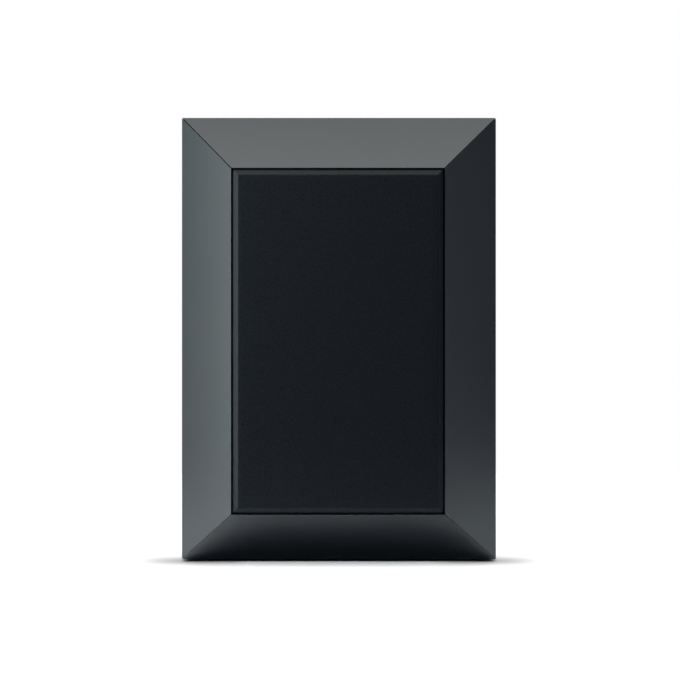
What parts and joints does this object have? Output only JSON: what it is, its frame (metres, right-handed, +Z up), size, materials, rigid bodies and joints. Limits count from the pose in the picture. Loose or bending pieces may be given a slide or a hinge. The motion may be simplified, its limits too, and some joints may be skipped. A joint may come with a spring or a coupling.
{
  "type": "bookshelf loudspeaker",
  "caption": "Bookshelf loudspeaker: wide mitred bevel frame round a pull-off cloth grille, with a cone driver, a dome tweeter, a rear reflex port and screw terminals.",
  "frame": {"origin": "middle of the footprint, on the surface that the feet stand on", "axes": "+X to the right as seen from the front, +Y from the front to the rear, +Z up"},
  "size_m": [0.224, 0.197, 0.317],
  "materials": {
    "black_lacquer": "satin",
    "baffle_paint": "matte",
    "bare_board": "matte",
    "grille_plastic": "matte",
    "grille_fabric": "matte",
    "magnet_nickel": "polished",
    "foot_rubber": "matte",
    "damping_foam": "matte",
    "insert_brass": "satin",
    "gasket_foam": "matte",
    "basket_casting": "satin",
    "surround_rubber": "satin",
    "cone_paper": "matte",
    "cap_paper": "satin",
    "spider_cloth": "matte",
    "former_aluminium": "satin",
    "coil_copper": "gloss",
    "motor_steel": "satin",
    "ferrite": "matte",
    "strip_fibre": "matte",
    "tinned_brass": "satin",
    "tinsel_copper": "satin",
    "black_steel": "satin",
    "faceplate_black": "satin",
    "dome_silk": "satin",
    "moulded_black": "matte",
    "post_gold": "polished",
    "knob_red": "gloss",
    "knob_black": "gloss",
    "bright_steel": "satin",
    "board_laminate": "satin",
    "nylon_white": "matte",
    "film_yellow": "satin",
    "resistor_cement": "matte",
    "lead_insulation": "satin"
  },
  "bodies": {
    "cabinet": {"baffle_board": "baffle_paint", "baffle_magnets": "magnet_nickel", "black_post": "post_gold", "bottom_panel": "black_lacquer", "cross_brace": "bare_board", "crossover_board": "board_laminate", "crossover_capacitors": "film_yellow", "crossover_resistors": "resistor_cement", "crossover_screws": "bright_steel", "crossover_standoffs": "nylon_white", "damping_pad_left": "damping_foam", "damping_pad_right": "damping_foam", "driver_gaskets": "gasket_foam", "front_rail_bottom": "black_lacquer", "front_rail_left": "black_lacquer", "front_rail_right": "black_lacquer", "front_rail_top": "black_lacquer", "inductor_bobbins": "nylon_white", "inductor_windings": "coil_copper", "internal_leads": "lead_insulation", "left_panel": "black_lacquer", "panel_screws": "black_steel", "port_tube": "moulded_black", "rear_inserts": "insert_brass", "rear_panel": "black_lacquer", "red_post": "post_gold", "right_panel": "black_lacquer", "rubber_feet": "foot_rubber", "solder_tags": "tinned_brass", "terminal_cup": "moulded_black", "terminal_nuts": "bright_steel", "tinsel_leads": "tinsel_copper", "top_panel": "black_lacquer", "tweeter_faceplate": "faceplate_black", "tweeter_front_plate": "motor_steel", "tweeter_magnet": "ferrite", "tweeter_rear_chamber": "moulded_black", "tweeter_suspension": "dome_silk", "tweeter_yoke": "motor_steel", "woofer_basket": "basket_casting", "woofer_front_plate": "motor_steel", "woofer_magnet": "ferrite", "woofer_spider": "spider_cloth", "woofer_strip": "strip_fibre", "woofer_surround": "surround_rubber", "woofer_yoke": "motor_steel"},
    "grille": {"grille_frame": "grille_plastic", "grille_cloth": "grille_fabric", "grille_magnets": "magnet_nickel"},
    "cone_assembly": {"woofer_cone": "cone_paper", "woofer_dust_cap": "cap_paper", "voice_coil_former": "former_aluminium", "voice_coil_winding": "coil_copper"},
    "dome_assembly": {"tweeter_dome": "dome_silk", "tweeter_voice_coil": "coil_copper"},
    "red_clamp": {"red_washer": "post_gold"},
    "black_clamp": {"black_washer": "post_gold"},
    "red_cap": {"red_knob": "knob_red"},
    "black_cap": {"black_knob": "knob_black"}
  },
  "joints": [
    {"name": "grille_pull", "type": "slide", "parent": "cabinet", "child": "grille", "axis": [0, -1, 0], "range_m": [0, 0.12]},
    {"name": "cone_travel", "type": "slide", "parent": "cabinet", "child": "cone_assembly", "axis": [0, -1, 0], "range_m": [-0.005, 0.005], "stiffness_N_per_m": 1200, "deforming": ["woofer_surround", "woofer_spider", "tinsel_leads"]},
    {"name": "dome_travel", "type": "slide", "parent": "cabinet", "child": "dome_assembly", "axis": [0, -1, 0], "range_m": [-0.0004, 0.0004], "stiffness_N_per_m": 2000, "deforming": ["tweeter_suspension"]},
    {"name": "red_clamp_slide", "type": "slide", "parent": "cabinet", "child": "red_clamp", "axis": [0, 1, 0], "range_m": [0, 0.006]},
    {"name": "red_knob_turn", "type": "hinge", "parent": "red_clamp", "child": "red_cap", "pos_m": [0.015, 0.0705, 0.0895], "axis": [0, 1, 0], "range_deg": [0, 1440]},
    {"name": "black_clamp_slide", "type": "slide", "parent": "cabinet", "child": "black_clamp", "axis": [0, 1, 0], "range_m": [0, 0.006]},
    {"name": "black_knob_turn", "type": "hinge", "parent": "black_clamp", "child": "black_cap", "pos_m": [-0.015, 0.0705, 0.0895], "axis": [0, 1, 0], "range_deg": [0, 1440]}
  ],
  "couplings": [
    {"joint": "red_clamp_slide", "follows": "red_knob_turn", "m_per_rad": 0.0002386},
    {"joint": "black_clamp_slide", "follows": "black_knob_turn", "m_per_rad": 0.0002386}
  ]
}
